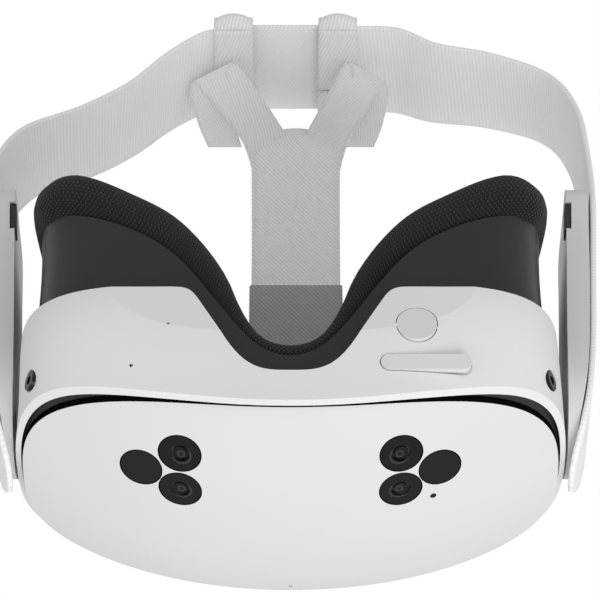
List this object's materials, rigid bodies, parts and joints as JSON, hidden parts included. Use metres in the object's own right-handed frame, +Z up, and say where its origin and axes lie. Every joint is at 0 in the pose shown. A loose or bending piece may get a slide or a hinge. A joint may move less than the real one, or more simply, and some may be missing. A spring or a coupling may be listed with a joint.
{
  "type": "vr headset",
  "caption": "Stand-alone head-worn display with a domed front, round camera windows, a padded face piece with a nose notch, hinged side arms and a webbing head strap with a Y-shaped top strap.",
  "frame": {"origin": "on the ground plane below the middle of the overall box, the ground being the flat of the housing underside", "axes": "+X to the wearer's left, +Y from the visor back towards the head, +Z up as worn"},
  "size_m": [0.2044, 0.2354, 0.1042],
  "materials": {
    "aluminium": "plain finned aluminium",
    "barrel_black": "matt black",
    "board_green": "solder mask",
    "button_white": "matt white, same as the housing",
    "cell": "wrapped cell",
    "cushion_fabric": "black knitted cover over foam",
    "grille_black": "fine black mesh",
    "interface_black": "satin black moulded plastic",
    "led_dark": "small dark light pipe",
    "lens_clear": "clear moulded lens with fine rings",
    "panel": "dark flat display",
    "port_metal": "plain metal shell",
    "screw_steel": "blackened screws",
    "shell_white": "fine matt moulded plastic",
    "steel": "turned steel",
    "trim_black": "matt black moulded plastic",
    "webbing_white": "ribbed white elastic webbing",
    "window_black": "glossy black window"
  },
  "bodies": {
    "headset": {"battery": "cell", "bezel_screws": "screw_steel", "camera_lower_left": "window_black", "camera_lower_right": "window_black", "camera_upper_left": "window_black", "camera_upper_right": "window_black", "display_panel": "panel", "fan_housing": "barrel_black", "front_cover": "shell_white", "heat_sink": "aluminium", "infrared_left": "window_black", "infrared_right": "window_black", "lens_bezel": "trim_black", "main_housing": "shell_white", "mainboard": "board_green", "microphones": "trim_black", "side_camera_left": "window_black", "side_camera_right": "window_black", "status_led": "led_dark", "strap_anchor": "webbing_white", "top_strap": "webbing_white", "usb_port": "port_metal", "vent_trim": "trim_black"},
    "strap_arm_left": {"arm_shell_left": "shell_white", "arm_cover_left": "shell_white", "speaker_left": "cell", "speaker_grille_left": "grille_black", "arm_pivot_left": "steel", "side_strap_left": "webbing_white", "rear_band": "webbing_white", "loop_left": "webbing_white", "loop_right": "webbing_white", "fork_left": "webbing_white", "fork_right": "webbing_white"},
    "strap_arm_right": {"arm_shell_right": "shell_white", "arm_cover_right": "shell_white", "speaker_right": "cell", "speaker_grille_right": "grille_black", "arm_pivot_right": "steel", "side_strap_right": "webbing_white"},
    "face_unit": {"facial_interface": "interface_black", "face_cushion": "cushion_fabric"},
    "lens_carriage_left": {"lens_barrel_left": "barrel_black", "lens_left": "lens_clear"},
    "lens_carriage_right": {"lens_barrel_right": "barrel_black", "lens_right": "lens_clear"},
    "action_button_cap": {"action_button": "button_white"},
    "volume_rocker_cap": {"volume_rocker": "button_white"},
    "power_button_cap": {"power_button": "button_white"},
    "rotor": {"fan_rotor": "barrel_black"}
  },
  "joints": [
    {"name": "strap_arm_left_pivot", "type": "hinge", "parent": "headset", "child": "strap_arm_left", "pos_m": [0.085, -0.07475, 0.054], "axis": [1, 0, 0], "range_deg": [-8, 8], "deforming": ["top_strap"]},
    {"name": "strap_arm_right_pivot", "type": "hinge", "parent": "headset", "child": "strap_arm_right", "pos_m": [-0.085, -0.07475, 0.054], "axis": [1, 0, 0], "range_deg": [-8, 8]},
    {"name": "face_unit_pull", "type": "slide", "parent": "headset", "child": "face_unit", "axis": [0, 1, 0], "range_m": [0, 0.012]},
    {"name": "lens_left_shift", "type": "slide", "parent": "headset", "child": "lens_carriage_left", "axis": [1, 0, 0], "range_m": [-0.0025, 0.0025]},
    {"name": "lens_right_shift", "type": "slide", "parent": "headset", "child": "lens_carriage_right", "axis": [1, 0, 0], "range_m": [-0.0025, 0.0025]},
    {"name": "action_button_press", "type": "slide", "parent": "headset", "child": "action_button_cap", "axis": [0, 0, 1], "range_m": [0, 0.0004], "stiffness_N_per_m": 800},
    {"name": "volume_rocker_rock", "type": "hinge", "parent": "headset", "child": "volume_rocker_cap", "pos_m": [-0.0412, -0.09425, 0.0034], "axis": [0, 0.9816, -0.1908], "range_deg": [-1.2, 1.2], "stiffness_Nm_per_rad": 0.4},
    {"name": "power_button_press", "type": "slide", "parent": "headset", "child": "power_button_cap", "axis": [-1, 0, 0], "range_m": [0, 0.0004], "stiffness_N_per_m": 800},
    {"name": "fan_rotor_spin", "type": "hinge", "parent": "headset", "child": "rotor", "pos_m": [0, -0.09355, 0.086], "axis": [0, 1, 0], "continuous": true}
  ],
  "couplings": [
    {"joint": "strap_arm_right_pivot", "follows": "strap_arm_left_pivot", "ratio": 1},
    {"joint": "lens_right_shift", "follows": "lens_left_shift", "ratio": -1}
  ]
}
